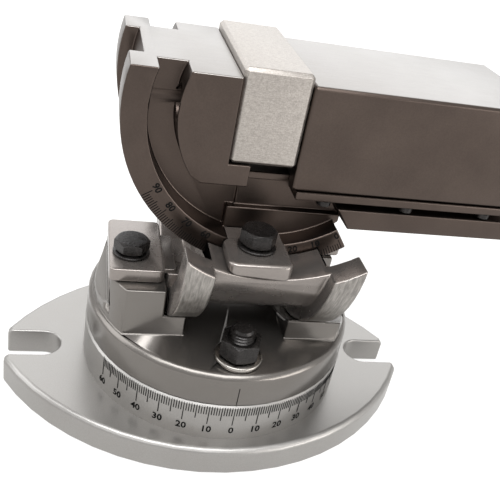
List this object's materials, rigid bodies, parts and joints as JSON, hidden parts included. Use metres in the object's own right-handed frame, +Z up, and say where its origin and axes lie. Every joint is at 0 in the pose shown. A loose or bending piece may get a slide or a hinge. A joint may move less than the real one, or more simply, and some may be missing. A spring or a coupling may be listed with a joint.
{
  "type": "machine vise",
  "caption": "Small three-way angle vise with a graduated swivel base, a side-swinging saddle, a tilting arc body and a screw-driven sliding jaw.",
  "frame": {"origin": "centre of the base plate's underside, on the swivel axis", "axes": "+Z up, +X along the jaws' travel towards the crank, -Y the side with the zero marks"},
  "size_m": [0.3758, 0.156, 0.1877],
  "materials": {
    "machined_iron": "fine milled and stoned, satin, oiled",
    "ground_steel": "surface ground, fine grain",
    "black_oxide": "black oxide, slightly oily",
    "bright_steel": "turned bright",
    "bronze": "turned bearing bronze",
    "phenolic": "moulded, polished"
  },
  "bodies": {
    "base": {"base_plate": "machined_iron", "swivel_pivot": "bright_steel"},
    "swivel": {"swivel_body": "machined_iron", "swivel_t_bolt_front": "black_oxide", "swivel_t_bolt_rear": "black_oxide", "swivel_washer_front": "bright_steel", "swivel_washer_rear": "bright_steel", "saddle_clamp_left": "machined_iron", "saddle_clamp_right": "machined_iron", "saddle_clamp_washer_left": "black_oxide", "saddle_clamp_washer_right": "black_oxide"},
    "front_swivel_nut": {"swivel_nut_front": "black_oxide"},
    "rear_swivel_nut": {"swivel_nut_rear": "black_oxide"},
    "left_saddle_bolt": {"saddle_clamp_bolt_left": "black_oxide"},
    "right_saddle_bolt": {"saddle_clamp_bolt_right": "black_oxide"},
    "cross_saddle": {"saddle": "machined_iron", "tilt_clamp_front": "machined_iron", "tilt_clamp_rear": "machined_iron", "tilt_clamp_washer_front": "black_oxide", "tilt_clamp_washer_rear": "black_oxide"},
    "front_tilt_bolt": {"tilt_clamp_bolt_front": "black_oxide"},
    "rear_tilt_bolt": {"tilt_clamp_bolt_rear": "black_oxide"},
    "vise": {"vise_body": "machined_iron", "jaw_block": "ground_steel", "jaw_block_screw_front": "black_oxide", "jaw_block_screw_rear": "black_oxide", "end_bracket": "machined_iron", "end_bracket_screw_1": "black_oxide", "end_bracket_screw_2": "black_oxide", "end_bracket_screw_3": "black_oxide", "end_bracket_screw_4": "black_oxide"},
    "sliding_jaw": {"movable_jaw": "machined_iron", "keeper_strip_front": "machined_iron", "keeper_strip_rear": "machined_iron", "screw_nut": "bronze", "keeper_screw_front_1": "black_oxide", "keeper_screw_front_2": "black_oxide", "keeper_screw_front_3": "black_oxide", "keeper_screw_rear_1": "black_oxide", "keeper_screw_rear_2": "black_oxide", "keeper_screw_rear_3": "black_oxide"},
    "screw": {"lead_screw": "bright_steel", "thrust_washer": "bright_steel", "retaining_collar": "black_oxide", "crank_arm": "machined_iron", "grip_pin": "bright_steel", "crank_screw": "black_oxide"},
    "grip": {"crank_grip": "phenolic"}
  },
  "joints": [
    {"name": "swivel_turn", "type": "hinge", "parent": "base", "child": "swivel", "pos_m": [0, 0, 0.036], "axis": [0, 0, 1], "continuous": true},
    {"name": "saddle_swing", "type": "hinge", "parent": "swivel", "child": "cross_saddle", "pos_m": [0, 0, 0.1232], "axis": [1, 0, 0], "range_deg": [-45, 45]},
    {"name": "body_tilt", "type": "hinge", "parent": "cross_saddle", "child": "vise", "pos_m": [0.006, 0, 0.1655], "axis": [0, -1, 0], "range_deg": [0, 90]},
    {"name": "jaw_slide", "type": "slide", "parent": "vise", "child": "sliding_jaw", "axis": [1, 0, 0], "range_m": [0, 0.055]},
    {"name": "screw_turn", "type": "hinge", "parent": "vise", "child": "screw", "pos_m": [0.19, 0, 0.158], "axis": [1, 0, 0], "range_deg": [0, 4952]},
    {"name": "grip_spin", "type": "hinge", "parent": "screw", "child": "grip", "pos_m": [0.23, 0, 0.088], "axis": [1, 0, 0], "continuous": true},
    {"name": "front_swivel_nut_turn", "type": "hinge", "parent": "swivel", "child": "front_swivel_nut", "pos_m": [0, -0.0555, 0.058], "axis": [0, 0, 1], "range_deg": [0, 180]},
    {"name": "rear_swivel_nut_turn", "type": "hinge", "parent": "swivel", "child": "rear_swivel_nut", "pos_m": [0, 0.0555, 0.058], "axis": [0, 0, 1], "range_deg": [0, 180]},
    {"name": "left_saddle_bolt_turn", "type": "hinge", "parent": "swivel", "child": "left_saddle_bolt", "pos_m": [-0.0516, -0.0175, 0.088], "axis": [0, 0, 1], "range_deg": [0, 180]},
    {"name": "right_saddle_bolt_turn", "type": "hinge", "parent": "swivel", "child": "right_saddle_bolt", "pos_m": [0.055, 0.025, 0.084], "axis": [0, 0, 1], "range_deg": [0, 180]},
    {"name": "front_tilt_bolt_turn", "type": "hinge", "parent": "cross_saddle", "child": "front_tilt_bolt", "pos_m": [0.00075, -0.045, 0.1117], "axis": [0, 0, 1], "range_deg": [0, 180]},
    {"name": "rear_tilt_bolt_turn", "type": "hinge", "parent": "cross_saddle", "child": "rear_tilt_bolt", "pos_m": [0.00075, 0.045, 0.1117], "axis": [0, 0, 1], "range_deg": [0, 180]}
  ],
  "couplings": [
    {"joint": "screw_turn", "follows": "jaw_slide", "rad_per_m": 1570.8}
  ]
}
